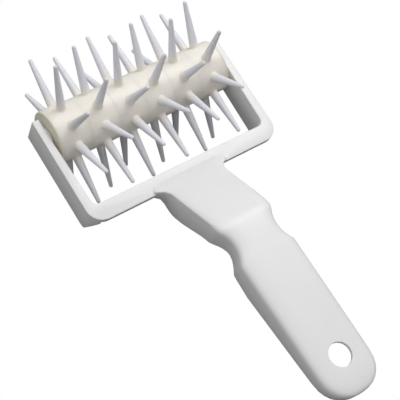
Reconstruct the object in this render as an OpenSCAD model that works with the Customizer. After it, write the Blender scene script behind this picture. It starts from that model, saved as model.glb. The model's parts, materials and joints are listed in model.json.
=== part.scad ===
// Dough docker: a spiked roller turning in a white moulded yoke with a raised handle.
// The tool is first built level, with the roller axis along X at y = 0 and the handle towards -Y,
// and then laid down as it rests on a worktop, on its spikes and the tail of the handle.

/* [Roller] */
// Number of spiked rings side by side on the core, an even number
rings = 6; // [4:2:8]
// Length of one ring along the axis, which is the pitch of the spike rows
ring_len = 18.65; // [16:0.05:22]
// Radius of the barrel that the rings form
barrel_r = 15.6; // [15:0.1:18]
// Number of spikes round a ring
spikes = 8; // [6:1:9]
// Radius from the roller axis to the spike tips
tip_reach = 44.3; // [36:0.1:46]
// Radius of a spike at its root
root_r = 2.6; // [2.2:0.1:3]
// Radius of a spike at its rounded tip
tip_r = 1.15; // [0.9:0.05:1.4]
// Fillet radius where a spike leaves the barrel
root_fillet = 1.6; // [0.8:0.1:2]
// Angle from the drive key to the nearest spike, so a turned ring is out of step by twice this
spike_lead = 8.5; // [4:0.5:11]
// Turn of the whole roller as it lies, from the forward direction up to the drive key
roller_turn = 52.2; // [47:0.1:56]

/* [Core and caps] */
// Outer radius of the core tube inside the rings
core_r = 12; // [11:0.1:12.6]
// Wall of the core tube
core_wall = 2.2; // [1.6:0.1:3]
// Width of the drive key along the core
key_w = 3; // [2:0.1:4]
// Height of the drive key above the core
key_h = 1.2; // [0.8:0.1:1.6]
// Thickness of an end cap's flange
flange_t = 1; // [0.8:0.1:1.6]
// Length of an end cap's spigot inside the core
spigot_len = 8; // [6:0.5:12]
// Radius of the journal on each end cap
journal_r = 4; // [3:0.1:5]

/* [Yoke] */
// Depth of the arms from top face to lower edge
arm_h = 18.6; // [17.8:0.1:22]
// Thickness of an arm at its free end
arm_tip_t = 3.9; // [3.6:0.1:5]
// Thickness of an arm where it meets the bar
arm_root_t = 5.2; // [5.1:0.1:6.5]
// From the roller axis forward to the arm ends
arm_reach = 9.1; // [8.5:0.1:12]
// From the roller axis back to the front edge of the bar
bar_front = 48.6; // [46.5:0.1:54]
// Width of the bar, front to back
bar_w = 9.9; // [8.5:0.1:12]
// Thickness of the bar at its back edge
bar_t = 3.4; // [2.8:0.1:4.5]
// Depth of the stiffening rib along the front of the bar
bar_rib_h = 8; // [6:0.5:12]
// Thickness of that rib
bar_rib_t = 2.4; // [1.8:0.1:3]
// Outer corner radius of the yoke seen from above
corner_r = 9.5; // [7:0.5:11]
// Inner corner radius of the yoke
inner_r = 4; // [3:0.5:6]
// From the yoke's top face down to the roller axis
axis_drop = 9; // [8.6:0.1:9.4]
// Gap between a cap's flange and the arm
side_gap = 2.65; // [2.2:0.05:4]
// Depth of the blind socket into the arm
socket_in = 2.2; // [1.8:0.1:2.6]

/* [Handle] */
// From the back of the bar to the start of the finger notch
neck_len = 40; // [36:0.5:44]
// Length of the finger notch
notch_len = 21; // [18:0.5:24]
// From the notch to the tail
grip_len = 85.7; // [75:0.1:100]
// Width of the neck at the bar
neck_w = 37.2; // [34:0.2:42]
// Width of the grip behind the notch
grip_w = 35.6; // [33:0.2:40]
// Width of the grip where the tail begins to round
tail_w = 34.2; // [31:0.2:36]
// How far the notch cuts in on each side
notch_sag = 3.6; // [2.5:0.1:4.5]
// Fillet radius between neck and bar seen from above
flare_r = 6; // [4:0.5:8]
// Rise of the neck, in degrees
neck_slope = 33.4; // [28:0.1:37]
// Height of the grip's shoulder over the yoke at the middle of the notch
grip_rise = 28.3; // [24:0.1:31]
// Slope of the grip, in degrees
grip_slope = 2.6; // [0:0.1:4]
// Height of the crown over the shoulder line of the grip
crown = 2.4; // [1.6:0.1:3]
// Depth of the neck's side walls
neck_depth = 20.8; // [18:0.1:22]
// Depth of the side walls at the notch
notch_depth = 10.8; // [9.5:0.1:13]
// Depth of the side walls at the front of the grip
grip_depth = 15.4; // [13:0.1:17]
// Depth of the side walls at the tail
tail_depth = 7; // [6:0.1:10]
// Length of the rounded tail
tail_len = 17; // [14:0.5:20]
// Wall and skin thickness of the hollow handle
wall = 2.2; // [1.8:0.1:2.6]
// Thickness of the cross ribs under the handle
rib_t = 1.6; // [1.2:0.1:2]
// Diameter of the hanging hole
hole_d = 13.2; // [10:0.1:16]
// From the middle of the hanging hole to the tail
hole_back = 21.5; // [19:0.1:25]

/* [Hidden] */
function ring_name(i) = str("spike_ring_", i);
$fn = 48;

// Clearances
slip = 0.05;
key_slip = 0.1;
journal_slip = 0.08;
end_play = 0.3;
cut = 1;

// Steps of round forms
barrel_sides = 96;
spike_sides = 32;
corner_steps = 12;
inner_steps = 8;
fillet_steps = 5;
tip_steps = 6;

// Roller
barrel_half = rings * ring_len / 2;
roller_half = barrel_half + flange_t;
flange_chamfer = 0.4;
spigot_r = core_r - core_wall - slip;
spigot_core_r = 5;
spigot_floor = 1.5;
pitch_angle = 360 / spikes;
half_turn = 180;
spike_draft = 4;

// Yoke
arm_in_tip = roller_half + side_gap;
yoke_half = arm_in_tip + arm_tip_t;
arm_in_root = yoke_half - arm_root_t;
bar_back = bar_front + bar_w;
boss_wall = 3;
boss_r = journal_r + boss_wall;
boss_half = roller_half + end_play;
socket_half = arm_in_tip + socket_in;
journal_half = socket_half - end_play;
relief_len = 6.5;
relief_start = bar_back - relief_len;

// Handle, measured as distances s behind the roller axis
notch_s = bar_back + neck_len;
grip_s = notch_s + notch_len;
tail_s = grip_s + grip_len;
fine_past_notch = 5;
plain_s = grip_s + fine_past_notch;
notch_mid = (notch_s + grip_s) / 2;
hole_s = tail_s - hole_back;
loft_s = bar_front + bar_w / 2;
neck_foot_s = loft_s;
shoulder = 2.2;
knuckle = 2;
tail_power = 2.3;
cap_power = 3.2;
smooth_step = 2.5;
foot_len = 4;
belly_len = 12;
rib_recess = 1.5;
foot_share = 0.75;
crown_start = 0.3;
grip_slices = 7;
tail_angles = [18:12:78];
tail_trim = 0.05;

// Cross ribs under the neck and the grip. The end values are the parts of a pitch left behind the last rib
neck_ribs = 2;
neck_rib_end = 0.4;
grip_ribs = 3;
grip_rib_end = 2.2;
rib_places = concat(
    [for (i = [1:neck_ribs]) bar_back + neck_len * i / (neck_ribs + neck_rib_end)],
    [for (i = [1:grip_ribs]) grip_s + grip_len * i / (grip_ribs + grip_rib_end)]
);

function arc(centre, r, from, to, n) =
    [for (i = [0:n]) centre + r * [cos(from + (to - from) * i / n), sin(from + (to - from) * i / n)]];

function blend_low(a, b, soft) = (a + b - sqrt((a - b) * (a - b) + soft * soft)) / 2;

// Shoulder line, where the top turns down into the side walls
function neck_line(s) = tan(neck_slope) * (s - neck_foot_s);
function grip_line(s) = grip_rise + tan(grip_slope) * (s - notch_mid);
function shoulder_z(s) = max(-cut / 2, blend_low(neck_line(s), grip_line(s), knuckle));

// Depth of the side walls below the shoulder line, eased between its stations
depth_rows = [
    [bar_back, bar_t + neck_line(bar_back)],
    [bar_back + foot_len, neck_depth * foot_share],
    [bar_back + belly_len, neck_depth],
    [bar_back + neck_len / 2, neck_depth],
    [notch_s, (neck_depth + notch_depth) / 2],
    [notch_mid, notch_depth],
    [grip_s + notch_len / 2, grip_depth],
    [tail_s, tail_depth]
];
function wall_depth(s) =
    (lookup(s - smooth_step, depth_rows) + 2 * lookup(s, depth_rows)
        + lookup(s + smooth_step, depth_rows)) / 4;
function under_z(s) = shoulder_z(s) - wall_depth(s);

// Plan half width: straight flanks, a flare at the bar, the notch arc and a round tail
notch_r = (notch_len * notch_len / 4 + notch_sag * notch_sag) / (2 * notch_sag);
flank_rows = [[bar_back, neck_w / 2], [notch_s, grip_w / 2], [grip_s, grip_w / 2], [tail_s, tail_w / 2]];
function flare(s) =
    let (t = flare_r - (s - bar_back))
    t <= 0 ? 0 : flare_r - sqrt(max(0, flare_r * flare_r - min(t, flare_r) * min(t, flare_r)));
function notch(s) =
    let (d = s - notch_mid)
    abs(d) >= notch_len / 2 ? 0 : sqrt(notch_r * notch_r - d * d) - (notch_r - notch_sag);
function tail_factor(s, inset, power) =
    let (t = (s - (tail_s - tail_len)) / (tail_len - inset))
    t <= 0 ? 1 : pow(max(0, 1 - pow(t, power)), 1 / power);
function half_width(s, inset) =
    (lookup(s, flank_rows) + flare(s) - notch(s) - inset) * tail_factor(s, inset, tail_power);

// Height of the domed top over the side walls
function crown_at(s) = crown * min(1, max(crown_start, (s - bar_back) / neck_len));
function cap_h(s, inset) =
    (shoulder + crown_at(s) - inset) * tail_factor(s, inset, cap_power);

arc_points = 14;
// Outline of one upright slice across the handle, open side down
function slice(s, inset, drop) =
    let (w = half_width(s, inset), z0 = shoulder_z(s) - shoulder, h = cap_h(s, inset))
    concat(
        [[w, -s, under_z(s) - drop]],
        [for (i = [0:arc_points])
            let (a = half_turn * i / arc_points, c = cos(a), v = sin(a))
            [w * sign(c) * pow(abs(c), 2 / cap_power), -s, z0 + h * pow(v, 2 / cap_power)]],
        [[-w, -s, under_z(s) - drop]]
    );

// Places of the slices: close together round the neck, the notch and the tail
function slice_places(from, to) = concat(
    [from],
    [for (s = [ceil(from / smooth_step) * smooth_step + smooth_step : smooth_step : plain_s]) s],
    [for (i = [1:grip_slices]) plain_s + (tail_s - tail_len - plain_s) * i / grip_slices],
    [for (a = tail_angles) tail_s - tail_len + (to - tail_s + tail_len) * sin(a)],
    [to]
);

module loft(slices) {
    n = len(slices[0]);
    m = len(slices);
    polyhedron(
        points = [for (row = slices) each row],
        faces = concat(
            [[for (j = [0:n - 1]) j]],
            [for (i = [0:m - 2], j = [0:n - 1])
                let (k = (j + 1) % n)
                [i * n + j, (i + 1) * n + j, (i + 1) * n + k, i * n + k]],
            [[for (j = [n - 1:-1:0]) (m - 1) * n + j]]
        ),
        convexity = 8
    );
}

module handle_outer() {
    loft([for (s = slice_places(loft_s, tail_s - tail_trim)) slice(s, 0, 0)]);
}

module handle_hollow() {
    difference() {
        loft([for (s = slice_places(bar_back + wall, tail_s - wall - tail_trim)) slice(s, wall, cut)]);
        for (s = rib_places) {
            translate([-neck_w, -s - rib_t / 2, under_z(s) + rib_recess])
                cube([2 * neck_w, rib_t, neck_depth + grip_rise]);
        }
    }
}

module yoke_plan() {
    outer = concat(
        [[yoke_half, arm_reach]],
        arc([yoke_half - corner_r, corner_r - bar_back], corner_r, 0, -90, corner_steps),
        arc([corner_r - yoke_half, corner_r - bar_back], corner_r, -90, -180, corner_steps),
        [[-yoke_half, arm_reach]]
    );
    inner = concat(
        [[-arm_in_tip, arm_reach]],
        arc([inner_r - arm_in_root, inner_r - bar_front], inner_r, 180, 270, inner_steps),
        arc([arm_in_root - inner_r, inner_r - bar_front], inner_r, 270, 360, inner_steps),
        [[arm_in_tip, arm_reach]]
    );
    polygon(concat(outer, inner));
}

// The arms are deep and the bar is thin, so the lower edge sweeps up round each corner
module yoke_frame() {
    difference() {
        translate([0, 0, -arm_h]) linear_extrude(arm_h) yoke_plan();
        rotate([90, 0, 90]) translate([0, 0, -yoke_half - cut])
            linear_extrude(2 * (yoke_half + cut))
            polygon([[-relief_start, -arm_h - cut], [-relief_start, -arm_h], [-bar_back, -bar_t],
                     [-bar_back - cut, -bar_t], [-bar_back - cut, -arm_h - cut]]);
        translate([-arm_in_root, -bar_back - cut, -arm_h - cut])
            cube([2 * arm_in_root, bar_w - bar_rib_t + cut, arm_h + cut - bar_t]);
        translate([-arm_in_root + inner_r, -bar_front - bar_rib_t - cut, -arm_h - cut])
            cube([2 * (arm_in_root - inner_r), bar_rib_t + 2 * cut, arm_h + cut - bar_rib_h]);
    }
}

module axle_boss(side) {
    translate([0, 0, -axis_drop]) rotate([0, side * 90, 0]) translate([0, 0, boss_half])
        cylinder(r = boss_r, h = arm_in_tip - boss_half + cut);
}

module axle_socket(side) {
    translate([0, 0, -axis_drop]) rotate([0, side * 90, 0]) translate([0, 0, boss_half - cut])
        cylinder(r = journal_r + journal_slip, h = socket_half - boss_half + cut);
}

module hang_hole() {
    translate([0, -hole_s, grip_line(hole_s)]) rotate([-grip_slope, 0, 0])
        cylinder(d = hole_d, h = 2 * (tail_depth + grip_depth), center = true);
}

module yoke_handle_level() {
    difference() {
        union() {
            yoke_frame();
            difference() {
                handle_outer();
                handle_hollow();
            }
            axle_boss(1);
            axle_boss(-1);
        }
        axle_socket(1);
        axle_socket(-1);
        hang_hole();
    }
}

// One spike, standing on +Z with its root let into the barrel
module spike() {
    foot = barrel_r - (root_r + root_fillet) * (root_r + root_fillet) / (2 * barrel_r);
    sink = foot - cut;
    rotate_extrude($fn = spike_sides)
        polygon(concat(
            [[0, sink], [root_r + root_fillet, sink]],
            arc([root_r + root_fillet, foot + root_fillet], root_fillet, 270, 180, fillet_steps),
            arc([0, tip_reach - tip_r], tip_r, spike_draft, 90, tip_steps)
        ));
}

// Rings are one moulding: every second one is turned end for end on the key
module spike_ring_level(i) {
    turned = i % 2 == 0 ? -1 : 1;
    translate([(i - (rings + 1) / 2) * ring_len, 0, 0]) {
        difference() {
            rotate([0, 90, 0]) cylinder(r = barrel_r, h = ring_len, center = true, $fn = barrel_sides);
            rotate([0, 90, 0]) cylinder(r = core_r + slip, h = ring_len + cut, center = true, $fn = barrel_sides);
            drive_key(ring_len + cut, key_slip);
        }
        for (k = [0:spikes - 1]) {
            rotate([turned * spike_lead + k * pitch_angle, 0, 0]) rotate([-90, 0, 0]) spike();
        }
    }
}

// The key stands on the +Y side of the core
module drive_key(length, gap) {
    translate([-length / 2, core_r - core_wall / 2, -key_w / 2 - gap])
        cube([length, core_wall / 2 + key_h + gap, key_w + 2 * gap]);
}

module core_tube_level() {
    difference() {
        union() {
            rotate([0, 90, 0]) cylinder(r = core_r, h = 2 * barrel_half, center = true, $fn = barrel_sides);
            drive_key(2 * barrel_half, 0);
        }
        rotate([0, 90, 0]) cylinder(r = core_r - core_wall, h = 2 * barrel_half + cut, center = true, $fn = barrel_sides);
    }
}

// Flange, journal and hollow spigot in one revolve
module end_cap_level(side) {
    rotate([0, side * 90, 0])
        rotate_extrude($fn = barrel_sides)
        polygon([
            [0, journal_half],
            [journal_r - flange_chamfer, journal_half],
            [journal_r, journal_half - flange_chamfer],
            [journal_r, roller_half],
            [barrel_r - flange_chamfer, roller_half],
            [barrel_r, roller_half - flange_chamfer],
            [barrel_r, barrel_half],
            [spigot_r, barrel_half],
            [spigot_r, barrel_half - spigot_len],
            [spigot_core_r, barrel_half - spigot_len],
            [spigot_core_r, barrel_half - spigot_floor],
            [0, barrel_half - spigot_floor]
        ]);
}

// How the tool lies: one row of spikes and the tail touch the worktop
rest_spike = roller_turn + spike_lead + half_turn;
tip_y = (tip_reach - tip_r) * cos(rest_spike);
tip_z = -axis_drop + (tip_reach - tip_r) * sin(rest_spike);
heel_s = tail_s;
heel_z = under_z(heel_s);
lie_run = tip_y + heel_s;
lie_rise = heel_z - tip_z;
lie_tilt = atan2(lie_rise, lie_run) + asin(tip_r / norm([lie_run, lie_rise]));
lie_lift = tip_r - (tip_y * sin(lie_tilt) + tip_z * cos(lie_tilt));

// Middle of the footprint, from the foremost spike tip to the top of the tail
function laid_y(y, z) = y * cos(lie_tilt) - z * sin(lie_tilt);
front_y = tip_r + max([for (i = [0:1], k = [0:spikes - 1])
    let (a = roller_turn + (i == 0 ? 1 : -1) * spike_lead + k * pitch_angle)
    laid_y((tip_reach - tip_r) * cos(a), -axis_drop + (tip_reach - tip_r) * sin(a))]);
back_y = laid_y(-tail_s, shoulder_z(tail_s) - shoulder);
mid_y = (front_y + back_y) / 2;

module lay() {
    translate([0, -mid_y, lie_lift]) rotate([lie_tilt, 0, 0]) children();
}

module lay_roller() {
    lay() translate([0, 0, -axis_drop]) rotate([roller_turn, 0, 0]) children();
}

module yoke_handle() {
    color("#E4E4E8") lay() yoke_handle_level();
}

module core_tube() {
    color("#D8D2BE") lay_roller() core_tube_level();
}

module spike_ring(i) {
    color("#DAD7DC") lay_roller() spike_ring_level(i);
}

module end_cap(side) {
    color("#D5D5C4") lay_roller() end_cap_level(side);
}

yoke_handle();
core_tube();
for (i = [1:rings]) {
    spike_ring(i);
}
end_cap(-1);  // end_cap_left
end_cap(1);  // end_cap_right
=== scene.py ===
# %% [markdown]
# This lesson dresses a dough docker: a spiked roller that turns in a moulded yoke with a raised handle.
# The measured solids come first, as a fixed frame. They give the places and the overall size.

# %% Load the measured solids
import bpy, math, json, bmesh
from mathutils import Matrix, Vector


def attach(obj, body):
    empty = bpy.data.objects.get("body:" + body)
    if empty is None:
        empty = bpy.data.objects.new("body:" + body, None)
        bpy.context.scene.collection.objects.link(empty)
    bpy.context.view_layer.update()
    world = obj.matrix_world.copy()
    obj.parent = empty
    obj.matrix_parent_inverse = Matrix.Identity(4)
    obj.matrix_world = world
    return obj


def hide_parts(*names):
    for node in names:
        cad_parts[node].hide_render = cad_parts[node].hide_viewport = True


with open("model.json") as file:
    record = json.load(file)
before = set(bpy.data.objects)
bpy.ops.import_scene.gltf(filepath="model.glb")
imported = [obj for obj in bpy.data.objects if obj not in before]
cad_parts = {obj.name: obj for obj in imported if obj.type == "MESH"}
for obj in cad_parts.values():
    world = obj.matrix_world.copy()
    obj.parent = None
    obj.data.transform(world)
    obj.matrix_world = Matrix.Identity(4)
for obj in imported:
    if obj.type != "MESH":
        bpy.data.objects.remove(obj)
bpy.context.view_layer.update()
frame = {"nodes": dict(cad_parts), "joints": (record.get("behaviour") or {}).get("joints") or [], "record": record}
MM = 0.001
AXLE = Vector(frame["joints"][0]["pos_m"])
HOLE_AXIS = frame["record"]["mounts"][0]["axis"]

# %% [markdown]
# Colours are written as the sRGB hex values that the eye reads, and one function turns them to linear light.
# A second small function adds any shader node with its settings and links.

# %% Colour and node helpers
def linear(hex_colour):
    parts = [int(hex_colour[i:i + 2], 16) / 255 for i in (1, 3, 5)]
    return [c / 12.92 if c <= 0.04045 else ((c + 0.055) / 1.055) ** 2.4 for c in parts] + [1.0]


def add_node(tree, kind, settings=None, links=None):
    """Keys are the names or the numbers of inputs, or else properties of the node."""
    node = tree.nodes.new(kind)
    for key, value in (settings or {}).items():
        if isinstance(key, int) or key in node.inputs:
            node.inputs[key].default_value = value
        else:
            setattr(node, key, value)
    for key, source in (links or {}).items():
        tree.links.new(source, node.inputs[key])
    return node


def blank_material(name):
    material = bpy.data.materials.new(name)
    material.use_nodes = True
    material.node_tree.nodes.clear()
    return material, material.node_tree


# A colour mix node numbers its inputs: 6 and 7 are the two colours, and output 2 is the result
MIX_A, MIX_B, MIX_OUT = 6, 7, 2
print("helpers ready")

# %% [markdown]
# The yoke and handle are polypropylene, injection moulded against a polished steel cavity. That gives the eye a
# neutral white plastic with a soft gloss, slow waves where it shrank, and edges rounded by the mould.
# The roller is the same plastic without pigment. It is ivory where it is thick. The thin spikes let light
# through and pick up the cool white round them, so the colour changes with the distance from the axle.

# %% Moulded plastics
BARREL_MM = 15.6          # radius of the barrel
COOL_FROM_MM = BARREL_MM + 0.5
COOL_TO_MM = BARREL_MM + 7
GRAIN_MM = 0.6            # moulding grain, far finer than the picture shows
GRAIN_DEEP_MM, GRAIN_STRENGTH = 0.05, 0.05
WAVE_DEEP_MM, WAVE_STRENGTH = 0.4, 0.12
GLOSS_DOWN, GLOSS_UP = 0.04, 0.05
PLASTIC_IOR = 1.49


def spikes_colour(tree, place, barrel, cool):
    """The barrel's colour near the axle, turning to the cool colour out on the spikes."""
    arm = add_node(tree, "ShaderNodeVectorMath", {"operation": "SUBTRACT", 1: (0.0, AXLE.y, AXLE.z)},
                   {0: place})
    across = add_node(tree, "ShaderNodeVectorMath", {"operation": "MULTIPLY", 1: (0.0, 1.0, 1.0)},
                      {0: arm.outputs[0]})
    reach = add_node(tree, "ShaderNodeVectorMath", {"operation": "LENGTH"}, {0: across.outputs[0]})
    far = add_node(tree, "ShaderNodeMapRange", {"From Min": COOL_FROM_MM * MM, "From Max": COOL_TO_MM * MM},
                   {"Value": reach.outputs["Value"]})
    mix = add_node(tree, "ShaderNodeMix", {"data_type": "RGBA", MIX_B: linear(cool)},
                   {"Factor": far.outputs["Result"], MIX_A: barrel})
    return mix.outputs[MIX_OUT]


def moulded_plastic(name, light, shade, rough, scatter_mm, wave_mm, edge_mm,
                    scatter=0.25, radius=(1.0, 0.9, 0.75), cool=None):
    material, tree = blank_material(name)
    place = add_node(tree, "ShaderNodeTexCoord").outputs["Object"]
    flow = add_node(tree, "ShaderNodeTexNoise", {"Scale": 1 / (wave_mm * MM), "Detail": 2.0},
                    {"Vector": place})
    tone = add_node(tree, "ShaderNodeMix", {"data_type": "RGBA", MIX_A: linear(light), MIX_B: linear(shade)},
                    {"Factor": flow.outputs["Fac"]})
    colour = tone.outputs[MIX_OUT]
    if cool:
        colour = spikes_colour(tree, place, colour, cool)
    grain = add_node(tree, "ShaderNodeTexNoise", {"Scale": 1 / (GRAIN_MM * MM), "Detail": 3.0},
                     {"Vector": place})
    gloss = add_node(tree, "ShaderNodeMapRange", {"To Min": rough - GLOSS_DOWN, "To Max": rough + GLOSS_UP},
                     {"Value": grain.outputs["Fac"]})
    edge = add_node(tree, "ShaderNodeBevel", {"samples": 4, "Radius": edge_mm * MM})
    bump = add_node(tree, "ShaderNodeBump", {"Strength": GRAIN_STRENGTH, "Distance": GRAIN_DEEP_MM * MM},
                    {"Height": grain.outputs["Fac"], "Normal": edge.outputs["Normal"]})
    wave = add_node(tree, "ShaderNodeBump", {"Strength": WAVE_STRENGTH, "Distance": WAVE_DEEP_MM * MM},
                    {"Height": flow.outputs["Fac"], "Normal": bump.outputs["Normal"]})
    shader = add_node(tree, "ShaderNodeBsdfPrincipled",
                      {"IOR": PLASTIC_IOR, "Subsurface Weight": scatter, "Subsurface Scale": scatter_mm * MM,
                       "Subsurface Radius": radius},
                      {"Base Color": colour, "Roughness": gloss.outputs["Result"],
                       "Normal": wave.outputs["Normal"]})
    add_node(tree, "ShaderNodeOutputMaterial", links={"Surface": shader.outputs["BSDF"]})
    return material


polypropylene_white = moulded_plastic("polypropylene_white_moulded", "#EBEBEB", "#E4E4E4", rough=0.32,
                                      scatter_mm=1.0, wave_mm=30.0, edge_mm=0.8)
polypropylene_natural = moulded_plastic("polypropylene_natural_satin", "#F3EFE8", "#EAE4D8", rough=0.38,
                                        scatter_mm=2.0, wave_mm=14.0, edge_mm=0.15, scatter=0.35,
                                        cool="#E3E3EA")
cap_natural = moulded_plastic("polypropylene_cap_satin", "#EFEBD8", "#E6E1CC", rough=0.40,
                              scatter_mm=2.0, wave_mm=14.0, edge_mm=0.3, radius=(1.0, 0.85, 0.6))
core_natural = moulded_plastic("polypropylene_core_satin", "#D8D2BE", "#CEC7B0", rough=0.45,
                               scatter_mm=2.0, wave_mm=14.0, edge_mm=0.2)
finishes = {"yoke_handle": polypropylene_white, "core_tube": core_natural,
            "end_cap_left": cap_natural, "end_cap_right": cap_natural}
for name, solid in frame["nodes"].items():
    solid.data.materials.clear()
    solid.data.materials.append(finishes.get(name, polypropylene_natural))
print("finished nodes:", len(frame["nodes"]))

# %% [markdown]
# The crown of the handle follows one formula in the measured source. The same sizes are named here in
# millimetres, so that a finer mesh can be set on the same curve. s is the distance behind the roller's axle
# while the yoke's top lies level, and x is the distance from the middle.

# %% Sizes of the handle
BAR_FRONT, BAR_WIDE, AXLE_DROP = 48.6, 9.9, 9.0
NECK_LONG, NOTCH_LONG, GRIP_LONG, TAIL_LONG = 40.0, 21.0, 85.7, 17.0
NECK_WIDE, GRIP_WIDE, TAIL_WIDE = 37.2, 35.6, 34.2
NOTCH_SAG, FLARE = 3.6, 6.0
NECK_SLOPE, GRIP_SLOPE = math.radians(33.4), math.radians(2.6)
GRIP_RISE, CROWN, SHOULDER, KNUCKLE = 28.3, 2.4, 2.2, 2.0
TAIL_POWER, CAP_POWER, CROWN_START = 2.3, 3.2, 0.3

BAR_MID = BAR_FRONT + BAR_WIDE / 2
NECK_S = BAR_FRONT + BAR_WIDE
NOTCH_S = NECK_S + NECK_LONG
GRIP_S = NOTCH_S + NOTCH_LONG
TAIL_S = GRIP_S + GRIP_LONG
NOTCH_MID = (NOTCH_S + GRIP_S) / 2
NOTCH_ARC = (NOTCH_LONG ** 2 / 4 + NOTCH_SAG ** 2) / (2 * NOTCH_SAG)
FLANKS = ((NECK_S, NECK_WIDE / 2), (NOTCH_S, GRIP_WIDE / 2), (GRIP_S, GRIP_WIDE / 2), (TAIL_S, TAIL_WIDE / 2))

# The hanging hole stands square to the grip, so its axis gives the tilt at which the tool lies
TILT = math.atan2(-HOLE_AXIS[1], HOLE_AXIS[2]) + GRIP_SLOPE
TO_WORLD = (Matrix.Translation(AXLE) @ Matrix.Rotation(TILT, 4, "X")
            @ Matrix.Translation((0, 0, AXLE_DROP * MM)))
TO_LEVEL = TO_WORLD.inverted()
print("handle from", NECK_S, "to", TAIL_S, "mm behind the axle, tilt", round(math.degrees(TILT), 2))

# %% [markdown]
# The plan is a straight taper with a flare at the bar, an arc for the finger notch and a round tail. Across the
# handle, the crown is a flattened ellipse.

# %% Curve of the crown
def ramp(s, rows):
    for (s0, v0), (s1, v1) in zip(rows, rows[1:]):
        if s <= s1:
            return v0 + (v1 - v0) * max(0.0, s - s0) / (s1 - s0)
    return rows[-1][1]


def tail_factor(s, power):
    t = (s - (TAIL_S - TAIL_LONG)) / TAIL_LONG
    return 1.0 if t <= 0 else max(0.0, 1 - min(t, 1.0) ** power) ** (1 / power)


def half_width(s):
    turn = min(FLARE - (s - NECK_S), FLARE)
    flare = 0.0 if turn <= 0 else FLARE - math.sqrt(max(0.0, FLARE ** 2 - turn ** 2))
    off = s - NOTCH_MID
    notch = 0.0
    if abs(off) < NOTCH_LONG / 2:
        notch = math.sqrt(NOTCH_ARC ** 2 - off ** 2) - (NOTCH_ARC - NOTCH_SAG)
    return (ramp(s, FLANKS) + flare - notch) * tail_factor(s, TAIL_POWER)


def crown_z(s, x):
    neck = math.tan(NECK_SLOPE) * (s - BAR_MID)
    grip = GRIP_RISE + math.tan(GRIP_SLOPE) * (s - NOTCH_MID)
    line = (neck + grip - math.sqrt((neck - grip) ** 2 + KNUCKLE ** 2)) / 2
    rise = SHOULDER + CROWN * min(1.0, max(CROWN_START, (s - NECK_S) / NECK_LONG))
    across = min(1.0, abs(x) / half_width(s))
    return line - SHOULDER + rise * tail_factor(s, CAP_POWER) * (1 - across ** CAP_POWER) ** (1 / CAP_POWER)


print("crown over the grip", round(crown_z(GRIP_S, 0.0), 2), "mm")

# %% [markdown]
# A mould never leaves a sharp outer edge. The handle gets a dressed copy whose creases are rounded with real
# faces, so that the long highlights along the bar, the neck and the grip run where they do on the object. Its
# crown is then cut finer and set on the curve.

# %% Rounded handle
EDGE_ROUND = 0.7 * MM
ROUND_STEPS = 3
CREASE = math.radians(38)
WELD = 0.005 * MM
FLAT = math.radians(0.4)
CROWN_MARGIN = 0.3        # mm left alone at the bar and at the tail
CROWN_SHARE = 0.93        # of the half width, before the side turns down
CROWN_NEAR = 0.45         # mm from the curve within which a point belongs to it
CROWN_MESH = 1.6          # mm, longest edge left on the crown
CROWN_ROUNDS = 6


def on_crown(vertex):
    """Where the vertex belongs on the curve, or None for a vertex of another face."""
    place = TO_LEVEL @ vertex.co / MM
    s, x = -place.y, place.x
    if not NECK_S + CROWN_MARGIN < s < TAIL_S - CROWN_MARGIN or abs(x) > CROWN_SHARE * half_width(s):
        return None
    height = crown_z(s, x)
    return TO_WORLD @ (Vector((x, -s, height)) * MM) if abs(place.z - height) < CROWN_NEAR else None


def crown_faces(mesh):
    return [f for f in mesh.faces if all(on_crown(v) for v in f.verts)]


def cut_to_triangles(mesh, faces):
    bmesh.ops.triangulate(mesh, faces=[f for f in faces if len(f.verts) > 3])


def smooth_crown(mesh):
    cut_to_triangles(mesh, crown_faces(mesh))
    for _ in range(CROWN_ROUNDS):
        long_edges = {e for f in crown_faces(mesh) for e in f.edges if e.calc_length() > CROWN_MESH * MM}
        if not long_edges:
            break
        bmesh.ops.subdivide_edges(mesh, edges=list(long_edges), cuts=1)
        cut_to_triangles(mesh, mesh.faces)
    places = [(v, on_crown(v)) for v in mesh.verts]
    for vertex, target in places:
        if target:
            vertex.co = target
    print("crown vertices set:", sum(1 for _, target in places if target))


def rounded_copy(name, body):
    solid = frame["nodes"][name]
    mesh = bmesh.new()
    mesh.from_mesh(solid.data)
    bmesh.ops.transform(mesh, matrix=solid.matrix_world, verts=mesh.verts)
    bmesh.ops.remove_doubles(mesh, verts=mesh.verts, dist=WELD)
    bmesh.ops.dissolve_limit(mesh, angle_limit=FLAT, verts=mesh.verts, edges=mesh.edges)
    creases = [e for e in mesh.edges if e.is_manifold and e.calc_face_angle(0.0) > CREASE]
    bmesh.ops.bevel(mesh, geom=creases, offset=EDGE_ROUND, offset_type="OFFSET", segments=ROUND_STEPS,
                    profile=0.5, affect="EDGES", clamp_overlap=True, miter_outer="ARC")
    smooth_crown(mesh)
    for face in mesh.faces:
        face.smooth = True
    data = bpy.data.meshes.new(name + "_rounded")
    mesh.to_mesh(data)
    mesh.free()
    data.set_sharp_from_angle(angle=CREASE)
    data.materials.append(finishes[name])
    piece = bpy.data.objects.new(name + "_rounded", data)
    bpy.context.scene.collection.objects.link(piece)
    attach(piece, body)
    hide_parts(name)
    print(name, "creases rounded:", len(creases), "faces:", len(data.polygons))
    return piece


rounded_copy("yoke_handle", "handle")

# %% [markdown]
# The photograph is a product cut-out on white. The floor and the world look white to the camera and are darker
# to everything else, so the sides of the handle keep their shade. The lamps stay soft and plain.

# %% Floor and world
FLOOR_HALF = 2.4
WHITE, PAPER_SHADE, SKY = linear("#FFFFFF"), linear("#6A6A68"), linear("#F4F4F4")
SKY_STRENGTH = 0.62


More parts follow.
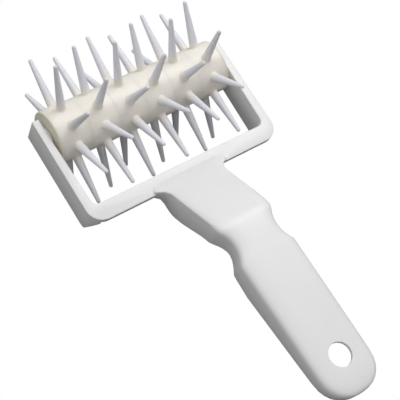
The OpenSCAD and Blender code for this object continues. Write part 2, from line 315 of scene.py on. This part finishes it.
def white_to_camera(tree, other):
    """The other shader for all rays but the camera's own, which see plain white."""
    kind = "ShaderNodeEmission" if other.type.startswith("BSDF") else "ShaderNodeBackground"
    white = add_node(tree, kind, {"Color": WHITE, "Strength": 1.0})
    rays = add_node(tree, "ShaderNodeLightPath")
    return add_node(tree, "ShaderNodeMixShader", {},
                    {0: rays.outputs["Is Camera Ray"], 1: other.outputs[0], 2: white.outputs[0]}).outputs[0]


floor_mesh = bpy.data.meshes.new("floor")
corners = [(x * FLOOR_HALF, y * FLOOR_HALF, 0) for x, y in ((-1, -1), (1, -1), (1, 1), (-1, 1))]
floor_mesh.from_pydata(corners, [], [(0, 1, 2, 3)])
floor = bpy.data.objects.new("floor", floor_mesh)
bpy.context.scene.collection.objects.link(floor)
paper, tree = blank_material("backdrop_paper_white")
matte = add_node(tree, "ShaderNodeBsdfDiffuse", {"Color": PAPER_SHADE})
add_node(tree, "ShaderNodeOutputMaterial", links={"Surface": white_to_camera(tree, matte)})
floor_mesh.materials.append(paper)

world = bpy.data.worlds.new("studio")
bpy.context.scene.world = world
world.use_nodes = True
world.node_tree.nodes.clear()
soft_sky = add_node(world.node_tree, "ShaderNodeBackground", {"Color": SKY, "Strength": SKY_STRENGTH})
add_node(world.node_tree, "ShaderNodeOutputWorld",
         links={"Surface": white_to_camera(world.node_tree, soft_sky)})
print("floor", 2 * FLOOR_HALF, "m wide")

# %% [markdown]
# Two square softboxes stand over the tool. The key is to the right, so that the sides towards the camera fall
# into shade.

# %% Lamps
LAMP_AIM = Vector((0, 0, 0.03))


def soft_lamp(name, place, size, power):
    lamp = bpy.data.lights.new(name, "AREA")
    lamp.shape = "SQUARE"
    lamp.size = size
    lamp.energy = power
    holder = bpy.data.objects.new(name, lamp)
    holder.location = place
    holder.rotation_euler = (LAMP_AIM - Vector(place)).to_track_quat("-Z", "Y").to_euler()
    bpy.context.scene.collection.objects.link(holder)
    return holder


lamps = [soft_lamp("key_softbox", (0.5, 0.12, 0.9), size=0.5, power=3.2),
         soft_lamp("top_softbox", (-0.1, 0.2, 1.1), size=0.9, power=2.7)]
print("lamps:", [lamp.name for lamp in lamps])

# %% [markdown]
# The camera stands where the photograph was taken from: front left of the roller's axle, well above it, with a
# long lens and a slight roll. These values come from the edges of the yoke and the spike tips.

# %% Camera
CAMERA_MM = Vector((-241.9, -274.6, 439.9))
AIM_MM = Vector((-11.08, 0.92, 39.25))
CAMERA_ROLL = math.radians(4.89)
FOCAL_MM = 90.5
SENSOR_MM = 36.0

camera = bpy.data.cameras.new("product_camera")
camera.sensor_width = SENSOR_MM
camera.sensor_fit = "HORIZONTAL"
camera.lens = FOCAL_MM
camera.clip_start = 10 * MM
viewer = bpy.data.objects.new("product_camera", camera)
bpy.context.scene.collection.objects.link(viewer)
look = (AIM_MM - CAMERA_MM).to_track_quat("-Z", "Y").to_matrix().to_4x4()
viewer.matrix_world = Matrix.Translation(CAMERA_MM * MM) @ look @ Matrix.Rotation(CAMERA_ROLL, 4, "Z")
bpy.context.scene.camera = viewer
bpy.context.scene.view_settings.view_transform = "Standard"
print("camera distance mm", round((AIM_MM - CAMERA_MM).length, 1))
